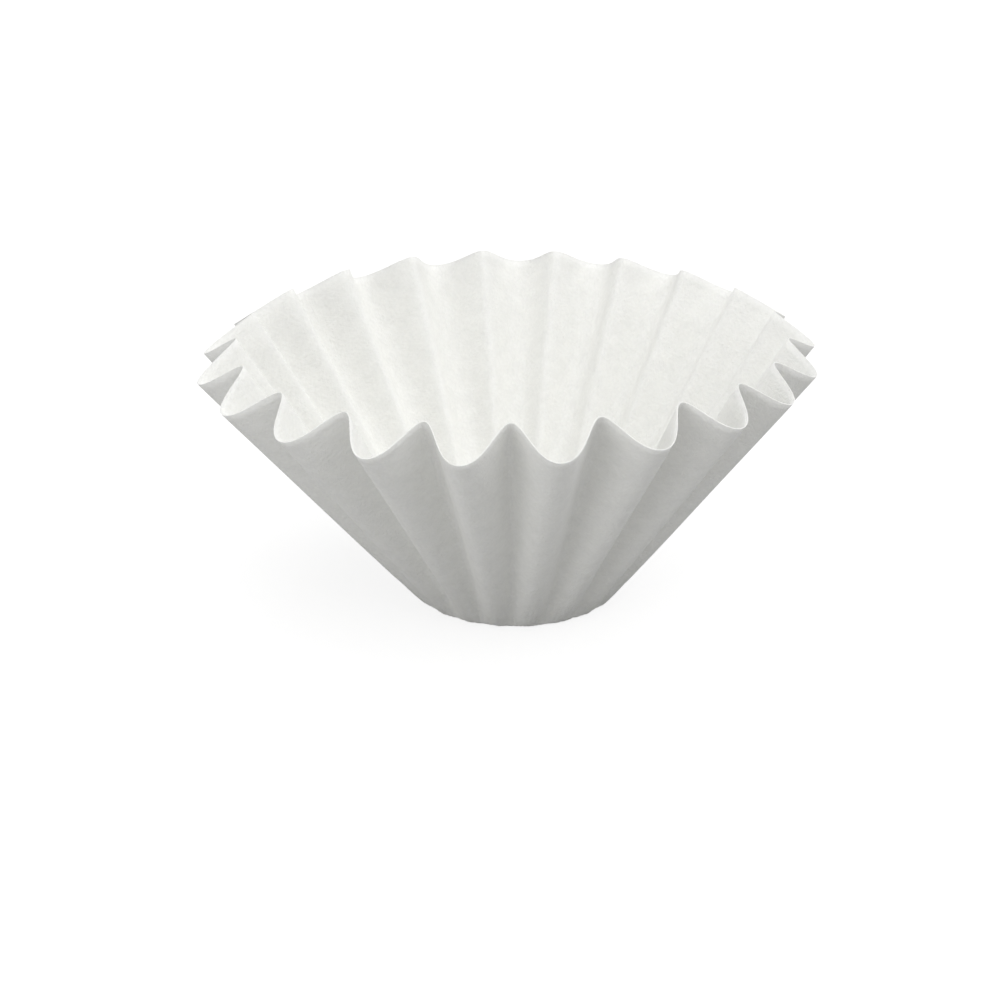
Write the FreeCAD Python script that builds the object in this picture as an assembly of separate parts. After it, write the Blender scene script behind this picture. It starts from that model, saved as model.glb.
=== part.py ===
import FreeCAD, Part
import functools
import math
import os

# A fluted basket filter for coffee, pressed from one round sheet of white paper.
# Millimetres, +Z up. The origin is the middle of the underside of the flat bottom.

# Driving dimensions
blank_diameter = 185.0    # the flat round sheet, before it is pressed
base_diameter = 45.0      # the flat bottom, out to the corner that bottom and wall would make
paper = 0.18              # thickness of the sheet
wall_angle = 55.5         # lean of the wall in degrees, measured up from the table
fold_radius = 1.5         # turn from bottom to wall, at the middle of the paper
flute_count = 21
lobe_breadth = 0.22       # 0 gives even waves, more gives narrow ridges inside and broad lobes outside
first_flute = -0.75       # degrees from the front, -Y, to the nearest inward ridge

# Hand-made unevenness round the rim: waves in one turn, size, and where it peaks in degrees
lean_drift = ((1, 1.2, 104.0), (2, 1.0, 26.0))                        # sizes in degrees
spacing_drift = ((3, 0.45, 20.0), (4, 0.6, 171.0), (5, 0.4, 208.0))   # sizes in degrees
depth_drift = ((1, 0.15, 292.0), (2, 0.07, 90.0))                     # sizes as shares of the flutes' depth

# The sheet is set out in flat facets, along rings at these shares of the wall's length
wall_rings = (0.0, 0.07, 0.2, 0.45, 1.0)
fold_steps = 2
facets_per_flute = 12

# What follows from the driving dimensions
blank_radius = blank_diameter / 2
lean = math.radians(wall_angle)
flat_radius = base_diameter / 2 - fold_radius * math.tan(lean / 2)
wall_start = flat_radius + fold_radius * lean
OUTSIDE = -1
INSIDE = 1
NUDGE = 0.001
DEPTH_HALVINGS = 30
PATH_STEPS = 48


def drift(waves, turn):
    """Sum of a few slow waves round the rim."""
    return sum(size * math.cos(count * turn - math.radians(peak)) for count, size, peak in waves)


def section(distance, local_lean):
    """Radius, height and slope of the unfluted sheet, at a distance along the paper from its middle."""
    turned = min(max(distance - flat_radius, 0.0) / fold_radius, local_lean)
    straight = max(distance - flat_radius - fold_radius * local_lean, 0.0)
    radius = min(distance, flat_radius) + fold_radius * math.sin(turned) + straight * math.cos(turned)
    height = paper / 2 + fold_radius * (1 - math.cos(turned)) + straight * math.sin(turned)
    return radius, height, turned


def flute_wave(turn):
    """Height of the wave for one unit of depth: 1 on an inward ridge and -1 on an outward lobe."""
    wave = math.cos(flute_count * turn)
    return wave + lobe_breadth * (wave * wave - 1)


def ring_length(depth, radius, slope):
    """Length of a wavy ring of paper, worked out on one flute and taken round."""
    pitch = 2 * math.pi / flute_count
    total = 0.0
    for step in range(PATH_STEPS):
        start = step * pitch / PATH_STEPS
        end = start + pitch / PATH_STEPS
        rise = depth * (flute_wave(end) - flute_wave(start))
        around = (radius - depth * flute_wave((start + end) / 2) * math.sin(slope)) * (end - start)
        total += math.hypot(rise, around)
    return total * flute_count


@functools.lru_cache(maxsize=None)
def flute_depth(distance):
    """Depth at which a ring of the flat sheet keeps its whole length on the narrower wall."""
    radius, height, slope = section(distance, lean)
    low = 0.0
    high = distance
    for halving in range(DEPTH_HALVINGS):
        middle = (low + high) / 2
        if ring_length(middle, radius, slope) < 2 * math.pi * distance:
            low = middle
        else:
            high = middle
    return low


def middle_of_paper(distance, turn):
    """Point at the middle of the sheet's thickness."""
    radius, height, slope = section(distance, lean + math.radians(drift(lean_drift, turn)))
    lift = flute_depth(distance) * (1 + drift(depth_drift, turn)) * flute_wave(turn)
    radius -= lift * math.sin(slope)
    height += lift * math.cos(slope)
    angle = turn + math.radians(first_flute + drift(spacing_drift, turn))
    return FreeCAD.Vector(radius * math.sin(angle), -radius * math.cos(angle), height)


def face_of_paper(distance, turn, side):
    """Point on the outside or the inside face of the sheet, half its thickness off the middle."""
    outward = middle_of_paper(distance + NUDGE, turn) - middle_of_paper(distance - NUDGE, turn)
    around = middle_of_paper(distance, turn + NUDGE) - middle_of_paper(distance, turn - NUDGE)
    normal = outward.cross(around).normalize()
    return middle_of_paper(distance, turn) + normal * (side * paper / 2)


def ring(distance, side):
    """Points once round the sheet at one distance from its middle, at even turns."""
    count = flute_count * facets_per_flute
    return [face_of_paper(distance, 2 * math.pi * index / count, side) for index in range(count)]


def ring_distances():
    """Distances along the paper of the rings, from the edge of the flat bottom to the rim."""
    fold = [flat_radius + (wall_start - flat_radius) * step / fold_steps for step in range(fold_steps)]
    wall = [wall_start + (blank_radius - wall_start) * share for share in wall_rings]
    return fold + wall


def flat_face(*corners):
    return Part.Face(Part.makePolygon([*corners, corners[0]]))


def band(low, high):
    """Two flat facets for each step round, between one ring and the next."""
    facets = []
    for index in range(len(low)):
        following = (index + 1) % len(low)
        facets.append(flat_face(low[index], low[following], high[following]))
        facets.append(flat_face(low[index], high[following], high[index]))
    return facets


def filter_paper():
    """The whole sheet: up the outside, over the cut rim, down the inside, and both faces of the bottom."""
    distances = ring_distances()
    rings = [ring(distance, OUTSIDE) for distance in distances]
    rings += [ring(distance, INSIDE) for distance in reversed(distances)]
    faces = [flat_face(*rings[0]), flat_face(*rings[-1])]
    for low, high in zip(rings, rings[1:]):
        faces += band(low, high)
    skin = Part.makeShell(faces)
    skin.sewShape()
    return Part.Solid(skin)


os.makedirs("parts", exist_ok=True)
filter_paper().exportStep("parts/filter_paper.step")
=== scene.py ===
import math

import bpy
import numpy as np
from mathutils import Matrix, Vector, noise


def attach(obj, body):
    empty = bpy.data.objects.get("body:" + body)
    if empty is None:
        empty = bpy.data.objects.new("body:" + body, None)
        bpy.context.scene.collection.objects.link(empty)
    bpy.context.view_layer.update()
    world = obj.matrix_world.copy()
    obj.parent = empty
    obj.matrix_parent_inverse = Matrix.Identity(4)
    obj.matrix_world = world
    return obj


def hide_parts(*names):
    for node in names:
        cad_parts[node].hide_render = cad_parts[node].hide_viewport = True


# A fluted basket filter of thin white paper, standing on a pale studio floor.
# Metres and degrees. +Z up, the front faces -Y, and the origin is under the middle of the flat bottom.

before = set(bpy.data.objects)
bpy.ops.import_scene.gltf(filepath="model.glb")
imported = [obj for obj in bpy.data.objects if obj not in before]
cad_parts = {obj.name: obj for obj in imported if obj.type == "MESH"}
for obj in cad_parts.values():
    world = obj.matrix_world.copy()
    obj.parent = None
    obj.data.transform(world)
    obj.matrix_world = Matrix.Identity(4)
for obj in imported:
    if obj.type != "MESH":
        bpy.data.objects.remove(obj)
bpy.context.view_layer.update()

# The pressed sheet
blank_diameter = 0.185    # the flat round sheet, before it is pressed
base_diameter = 0.045     # the flat bottom, out to the corner that bottom and wall would make
paper = 0.00018           # thickness of the sheet
wall_angle = 55.5         # lean of the wall, measured up from the table
fold_radius = 0.0015      # turn from bottom to wall, at the middle of the paper
flute_count = 21
lobe_breadth = 0.22       # 0 gives even waves, more gives narrow ridges inside and broad lobes outside
first_flute = -0.75       # from the front to the nearest inward ridge

# Unevenness round the rim: waves in one turn, size, and where it peaks
lean_drift = ((1, 1.2, 104.0), (2, 1.0, 26.0))
spacing_drift = ((3, 0.45, 20.0), (4, 0.6, 171.0), (5, 0.4, 208.0))
depth_drift = ((1, 0.15, 292.0), (2, 0.07, 90.0))   # sizes as shares of the flutes' depth

# The sheet's small unevenness, all of it in and out of the paper. A noise changes more often round the
# cup with more lanes, goes on further up the wall with a longer run, and is a new one in another layer.
buckle_height = 0.00014   # soft lengthwise waves that the press leaves in the flutes
buckle_noise = dict(lanes=9.0, run=0.030, layer=0.0)
crimp_height = 0.00016    # sharp little creases where the flutes start at the bottom
crimp_noise = dict(lanes=24.0, run=0.012, layer=40.0)
crimp_reach = 0.0016      # how far the creases go in under the bottom
crimp_climb = 0.024       # and how far up the wall they fade out

# How finely the sheet is divided
facets_per_flute = 28
base_rings = 6
fold_rings = 6
wall_rings = 50
wall_crowding = 1.25      # 1 spaces the wall's rings evenly, more crowds them towards the bottom
flute_steps = 48          # pieces that one flute is measured in, to find the depth of the flutes
depth_halvings = 30       # how often the guess at that depth is halved

# The paper's surface. Its patterns are noise on the flat sheet, with a scale for each metre of it.
paper_white = (0.90, 0.90, 0.875)
paper_surface = {
    "Roughness": 0.92,
    "Specular IOR Level": 0.25,
    "Subsurface Weight": 0.15,
    "Subsurface Radius": (1.0, 1.0, 0.9),
    "Subsurface Scale": 0.0004,
}
cloud_pattern = dict(scale=300.0, detail=3.0)
tooth_pattern = dict(scale=1300.0, detail=4.0)
fibre_pattern = dict(scale=600.0, detail=2.0, squeeze=0.2)
fibre_directions = (10.0, 70.0, 130.0)
fibre_share = 0.35        # of the paper's tone, where clouds and tooth make up the rest
tone_ends = (0.38, 0.62)  # where the pattern gives the darkest paper, and where the lightest
tones = (0.95, 1.03)      # the darkest and the lightest, as shares of the paper's white
bump_height = 0.0004

# The camera, which looks along +Y and down
camera_aim = Vector((-0.00336, 0.0, 0.02043))
camera_distance = 0.4854
camera_down = 23.13
camera_roll = -0.1
camera_lens = 78.39       # in millimetres
camera_sensor = 36.0      # its width, in millimetres
camera_near = 0.01        # nothing closer than this is drawn

# Light: strength of each lamp in watts, its size, and where it stands round and above the cup
key_lamp = dict(power=29.5, size=2.7, distance=1.5, azimuth=75.0, elevation=72.0)
fill_lamp = dict(power=3.4, size=0.8, distance=1.1, azimuth=-45.0, elevation=8.0)
lamp_target = Vector((0.0, 0.0, 0.03))
room_light = 0.45

# The floor
floor_reach = 3.0         # from the cup to each edge
floor_gap = 0.00005       # between the floor and the paper on it
floor_grey = 0.42         # what the floor throws back up at the cup
floor_veil = 0.30         # how strongly the camera sees the cup's shadow on it
floor_glow = (0.8, 0.9)   # near the cup, and far out, where it meets the white behind
glow_reach = (0.25, 1.0)  # how far from the middle the first ends and the second starts

# What follows from the sizes
blank_radius = blank_diameter / 2
lean = math.radians(wall_angle)
flat_radius = base_diameter / 2 - fold_radius * math.tan(lean / 2)
wall_start = flat_radius + fold_radius * lean


# The shape of the sheet

def drift(waves, turn):
    """Sum of a few slow waves round the rim."""
    return sum(size * np.cos(count * turn - math.radians(peak)) for count, size, peak in waves)


def section(distance, local_lean):
    """Radius, height and slope of the unfluted sheet, at a distance along the paper from its middle."""
    turned = np.minimum(np.maximum(distance - flat_radius, 0.0) / fold_radius, local_lean)
    straight = np.maximum(distance - flat_radius - fold_radius * local_lean, 0.0)
    radius = np.minimum(distance, flat_radius) + fold_radius * np.sin(turned) + straight * np.cos(turned)
    height = paper / 2 + fold_radius * (1 - np.cos(turned)) + straight * np.sin(turned)
    return radius, height, turned


def flute_wave(turn):
    """Height of the wave for one unit of depth: 1 on an inward ridge and -1 on an outward lobe."""
    wave = np.cos(flute_count * turn)
    return wave + lobe_breadth * (wave * wave - 1)


def flute_depth(distance):
    """Depth at which a ring of the flat sheet keeps its whole length on the narrower wall."""
    radius, _, slope = section(distance, lean)
    steps = np.linspace(0.0, 2 * math.pi / flute_count, flute_steps + 1)
    rise = np.diff(flute_wave(steps))
    sideways = flute_wave((steps[1:] + steps[:-1]) / 2) * np.sin(slope)
    low = np.zeros_like(distance)
    high = distance.copy()
    for halving in range(depth_halvings):
        middle = (low + high) / 2
        around = (radius - middle * sideways) * np.diff(steps)
        length = flute_count * np.hypot(middle * rise, around).sum(axis=1, keepdims=True)
        short = length < 2 * math.pi * distance
        low = np.where(short, middle, low)
        high = np.where(short, high, middle)
    return low


def middle_of_paper(distance, turn):
    """Points at the middle of the thickness, one row for each distance and one column for each turn."""
    radius, height, slope = section(distance, lean + np.radians(drift(lean_drift, turn)))
    lift = flute_depth(distance) * (1 + drift(depth_drift, turn)) * flute_wave(turn)
    radius = radius - lift * np.sin(slope)
    height = height + lift * np.cos(slope)
    angle = turn + np.radians(first_flute + drift(spacing_drift, turn))
    return np.stack([radius * np.sin(angle), -radius * np.cos(angle), height], axis=-1)


def unit_normals(points):
    """Normals of the sheet towards the inside of the cup, from the steps between neighbouring points."""
    up = np.gradient(points, axis=0)
    round_cup = np.roll(points, -1, axis=1) - np.roll(points, 1, axis=1)
    normal = np.cross(up, round_cup)
    normal /= np.linalg.norm(normal, axis=2, keepdims=True)
    return normal


def lane_noise(distance, turn, lanes, run, layer):
    """Noise that closes on itself round the cup and changes slowly up the wall."""
    return np.array([
        [
            noise.noise(Vector((lanes * math.cos(angle), lanes * math.sin(angle), along / run + layer)))
            for angle in turn[0]
        ]
        for along in distance[:, 0]
    ])


def smooth_step(value, start, end):
    """0 up to the start, 1 from the end on, and a soft rise between them."""
    share = np.clip((value - start) / (end - start), 0.0, 1.0)
    return share * share * (3 - 2 * share)


def unevenness(distance, turn):
    """How far the paper stands in from its true shape."""
    growth = smooth_step(distance, wall_start, blank_radius)
    soft = lane_noise(distance, turn, **buckle_noise)
    creases = 1 - 2 * np.abs(lane_noise(distance, turn, **crimp_noise))
    near_fold = smooth_step(distance, flat_radius - crimp_reach, wall_start)
    near_fold = near_fold * (1 - smooth_step(distance, wall_start, wall_start + crimp_climb))
    return buckle_height * growth * soft + crimp_height * near_fold * np.maximum(creases, 0.0) ** 2


# The mesh

def new_object(name, data):
    thing = bpy.data.objects.new(name, data)
    bpy.context.scene.collection.objects.link(thing)
    return thing


def new_mesh(name, points, faces):
    mesh = bpy.data.meshes.new(name)
    mesh.from_pydata(points, [], faces)
    mesh.validate()
    return mesh


def band_faces(low, high, count, flip):
    """Quads between two rings of vertices, each given by its first vertex."""
    faces = []
    for index in range(count):
        following = (index + 1) % count
        quad = (low + index, low + following, high + following, high + index)
        faces.append(quad[::-1] if flip else quad)
    return faces


def grid_faces(first, rings, count, flip):
    """Quads between rings of vertices that follow each other, the first ring starting at vertex first."""
    faces = []
    for ring in range(rings - 1):
        low = first + ring * count
        faces += band_faces(low, low + count, count, flip)
    return faces


def fan_faces(centre, first, count, flip):
    """Triangles from a centre out to the ring of vertices that starts at vertex first."""
    faces = []
    for index in range(count):
        triangle = (centre, first + (index + 1) % count, first + index)
        faces.append(triangle[::-1] if flip else triangle)
    return faces


def ring_distances():
    """Distances along the paper of the mesh's rings, closest where the sheet turns up."""
    base = flat_radius * np.arange(1, base_rings + 1) / (base_rings + 1)
    fold = np.linspace(flat_radius, wall_start, fold_rings, endpoint=False)
    shares = np.linspace(0.0, 1.0, wall_rings) ** wall_crowding
    wall = wall_start + (blank_radius - wall_start) * shares
    return np.concatenate([base, fold, wall])[:, None]


def store_flat_places(mesh, distance, turn):
    """Stores where each point of the sheet lay on the flat blank, for the grain of the paper to follow."""
    angle = turn + 0 * distance
    place = np.stack([distance * np.sin(angle), -distance * np.cos(angle), 0 * angle], axis=-1)
    face = place.reshape(-1, 3)
    centres = np.zeros((2, 3))
    attribute = mesh.attributes.new("flat_place", "FLOAT_VECTOR", "POINT")
    attribute.data.foreach_set("vector", np.concatenate([face, face, centres]).ravel())


def make_filter():
    """The whole sheet with both of its faces and its cut edge, as one closed skin."""
    count = flute_count * facets_per_flute
    turn = (2 * math.pi * np.arange(count) / count)[None, :]
    distance = ring_distances()
    rings = len(distance)
    middle = middle_of_paper(distance, turn)
    middle = middle + unit_normals(middle) * unevenness(distance, turn)[..., None]
    inward = unit_normals(middle) * paper / 2
    outside = (middle - inward).reshape(-1, 3)
    inside = (middle + inward).reshape(-1, 3)
    centres = [(0.0, 0.0, 0.0), (0.0, 0.0, paper)]
    points = np.concatenate([outside, inside, centres])
    inside_start = rings * count
    centre_below = 2 * rings * count
    centre_above = centre_below + 1
    faces = grid_faces(0, rings, count, False)
    faces += grid_faces(inside_start, rings, count, True)
    faces += fan_faces(centre_below, 0, count, False)
    faces += fan_faces(centre_above, inside_start, count, True)
    cut_edge = len(faces)
    rim = (rings - 1) * count
    faces += band_faces(rim, inside_start + rim, count, False)
    mesh = new_mesh("filter_sheet", points.tolist(), faces)
    smooth = np.ones(len(faces), bool)
    smooth[cut_edge:] = False
    mesh.polygons.foreach_set("use_smooth", smooth)
    store_flat_places(mesh, distance, turn)
    return new_object("filter_sheet", mesh)


# Materials

def grey(level):
    return (level, level, level, 1)


def paper_material():
    """White filter paper: a cloudy, fibrous sheet with a dull surface that lets a little light through."""
    material = bpy.data.materials.new("filter_paper_white")
    material.use_nodes = True
    nodes = material.node_tree.nodes
    links = material.node_tree.links
    shader = nodes["Principled BSDF"]
    for socket, value in paper_surface.items():
        shader.inputs[socket].default_value = value
    place = nodes.new("ShaderNodeAttribute")
    place.attribute_name = "flat_place"

    def pattern(scale, detail, squeeze=1.0, direction=0.0):
        """Noise on the flat sheet. A squeeze below 1 makes strands of it, which run in the direction."""
        mapping = nodes.new("ShaderNodeMapping")
        mapping.vector_type = "TEXTURE"
        mapping.inputs["Scale"].default_value = (1.0, squeeze, 1.0)
        mapping.inputs["Rotation"].default_value = (0.0, 0.0, math.radians(direction))
        links.new(place.outputs["Vector"], mapping.inputs["Vector"])
        texture = nodes.new("ShaderNodeTexNoise")
        texture.inputs["Scale"].default_value = scale
        texture.inputs["Detail"].default_value = detail
        links.new(mapping.outputs["Vector"], texture.inputs["Vector"])
        return texture.outputs["Fac"]

    def blend(first, second, share=0.5):
        """A mix of two patterns, even unless another share of the second is given."""
        mix = nodes.new("ShaderNodeMix")
        mix.inputs["Factor"].default_value = share
        links.new(first, mix.inputs["A"])
        links.new(second, mix.inputs["B"])
        return mix.outputs["Result"]

    clouds = pattern(**cloud_pattern)
    tooth = pattern(**tooth_pattern)
    fibres, *others = [pattern(**fibre_pattern, direction=direction) for direction in fibre_directions]
    for number, strands in enumerate(others, start=2):
        fibres = blend(fibres, strands, 1 / number)
    tone = blend(blend(clouds, tooth), fibres, fibre_share)
    ramp = nodes.new("ShaderNodeValToRGB")
    for element, position, shade in zip(ramp.color_ramp.elements, tone_ends, tones):
        element.position = position
        element.color = (*(shade * channel for channel in paper_white), 1)
    links.new(tone, ramp.inputs["Fac"])
    links.new(ramp.outputs["Color"], shader.inputs["Base Color"])
    bump = nodes.new("ShaderNodeBump")
    bump.inputs["Strength"].default_value = 1.0
    bump.inputs["Distance"].default_value = bump_height
    links.new(blend(tooth, fibres), bump.inputs["Height"])
    links.new(bump.outputs["Normal"], shader.inputs["Normal"])
    return material


def seen_directly(nodes, links):
    """1 for rays that come from the camera, or from it by a reflection or through glass, otherwise 0."""
    path = nodes.new("ShaderNodeLightPath")
    total = path.outputs["Is Camera Ray"]
    for name in ("Is Glossy Ray", "Is Transmission Ray"):
        either = nodes.new("ShaderNodeMath")
        either.operation = "MAXIMUM"
        links.new(total, either.inputs[0])
        links.new(path.outputs[name], either.inputs[1])
        total = either.outputs["Value"]
    return total


def floor_material():
    """A floor that is white to the camera, keeps the cup's shadow, and throws only some light back up."""
    material = bpy.data.materials.new("studio_floor")
    material.use_nodes = True
    nodes = material.node_tree.nodes
    links = material.node_tree.links
    shader = nodes["Principled BSDF"]
    shader.inputs["Base Color"].default_value = grey(floor_grey)
    shader.inputs["Roughness"].default_value = 1.0
    shader.inputs["Specular IOR Level"].default_value = 0.0
    veil = nodes.new("ShaderNodeBsdfDiffuse")
    veil.inputs["Color"].default_value = grey(floor_veil)
    place = nodes.new("ShaderNodeNewGeometry")
    reach = nodes.new("ShaderNodeVectorMath")
    reach.operation = "LENGTH"
    links.new(place.outputs["Position"], reach.inputs[0])
    growth = nodes.new("ShaderNodeMapRange")
    for socket, value in zip(("From Min", "From Max", "To Min", "To Max"), (*glow_reach, *floor_glow)):
        growth.inputs[socket].default_value = value
    links.new(reach.outputs["Value"], growth.inputs["Value"])
    glow = nodes.new("ShaderNodeEmission")
    glow.inputs["Color"].default_value = grey(1)
    links.new(growth.outputs["Result"], glow.inputs["Strength"])
    both = nodes.new("ShaderNodeAddShader")
    links.new(veil.outputs["BSDF"], both.inputs[0])
    links.new(glow.outputs["Emission"], both.inputs[1])
    mix = nodes.new("ShaderNodeMixShader")
    links.new(seen_directly(nodes, links), mix.inputs["Fac"])
    links.new(shader.outputs["BSDF"], mix.inputs[1])
    links.new(both.outputs["Shader"], mix.inputs[2])
    links.new(mix.outputs["Shader"], nodes["Material Output"].inputs["Surface"])
    return material


# Studio

def place_lamp(name, power, size, distance, azimuth, elevation):
    """A square lamp aimed at the cup. Azimuth 0 is the front and grows towards +X."""
    around = math.radians(azimuth)
    above = math.radians(elevation)
    direction = Vector((
        math.sin(around) * math.cos(above),
        -math.cos(around) * math.cos(above),
        math.sin(above),
    ))
    data = bpy.data.lights.new(name, "AREA")
    data.energy = power
    data.size = size
    lamp = new_object(name, data)
    lamp.location = lamp_target + direction * distance
    lamp.rotation_euler = direction.to_track_quat("Z", "Y").to_euler()


def light_room():
    """Even light from all round, from a room that the camera sees as plain white."""
    world = bpy.data.worlds.new("studio")
    world.use_nodes = True
    nodes = world.node_tree.nodes
    links = world.node_tree.links
    room = nodes["Background"]
    room.inputs["Color"].default_value = grey(1)
    room.inputs["Strength"].default_value = room_light
    white = nodes.new("ShaderNodeBackground")
    white.inputs["Color"].default_value = grey(1)
    white.inputs["Strength"].default_value = 1.0
    mix = nodes.new("ShaderNodeMixShader")
    links.new(seen_directly(nodes, links), mix.inputs["Fac"])
    links.new(room.outputs["Background"], mix.inputs[1])
    links.new(white.outputs["Background"], mix.inputs[2])
    links.new(mix.outputs["Shader"], nodes["World Output"].inputs["Surface"])
    bpy.context.scene.world = world


def place_floor():
    """A square floor, a hair below the cup."""
    left = front = -floor_reach
    right = back = floor_reach
    corners = [(left, front, 0), (right, front, 0), (right, back, 0), (left, back, 0)]
    floor = new_object("floor", new_mesh("floor", corners, [(0, 1, 2, 3)]))
    floor.location.z = -floor_gap
    floor.data.materials.append(floor_material())


def place_camera():
    """The camera of the fitted view, a distance back from its aim and tilted down."""
    down = math.radians(camera_down)
    roll = math.radians(camera_roll)
    forward = Vector((0.0, math.cos(down), -math.sin(down)))
    right = Vector((1.0, 0.0, 0.0))
    up = right.cross(forward)
    across = right * math.cos(roll) + up * math.sin(roll)
    upright = up * math.cos(roll) - right * math.sin(roll)
    position = camera_aim - forward * camera_distance
    rotation = Matrix((across, upright, -forward)).transposed().to_4x4()
    data = bpy.data.cameras.new("camera")
    data.lens = camera_lens
    data.sensor_width = camera_sensor
    data.clip_start = camera_near
    camera = new_object("camera", data)
    camera.matrix_world = Matrix.Translation(position) @ rotation
    bpy.context.scene.camera = camera


place_camera()
light_room()
place_lamp("key", **key_lamp)
place_lamp("fill", **fill_lamp)
place_floor()

sheet = make_filter()
sheet.data.materials.append(paper_material())
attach(sheet, "root")
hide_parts("filter_paper")

bpy.context.scene.view_settings.view_transform = "Standard"
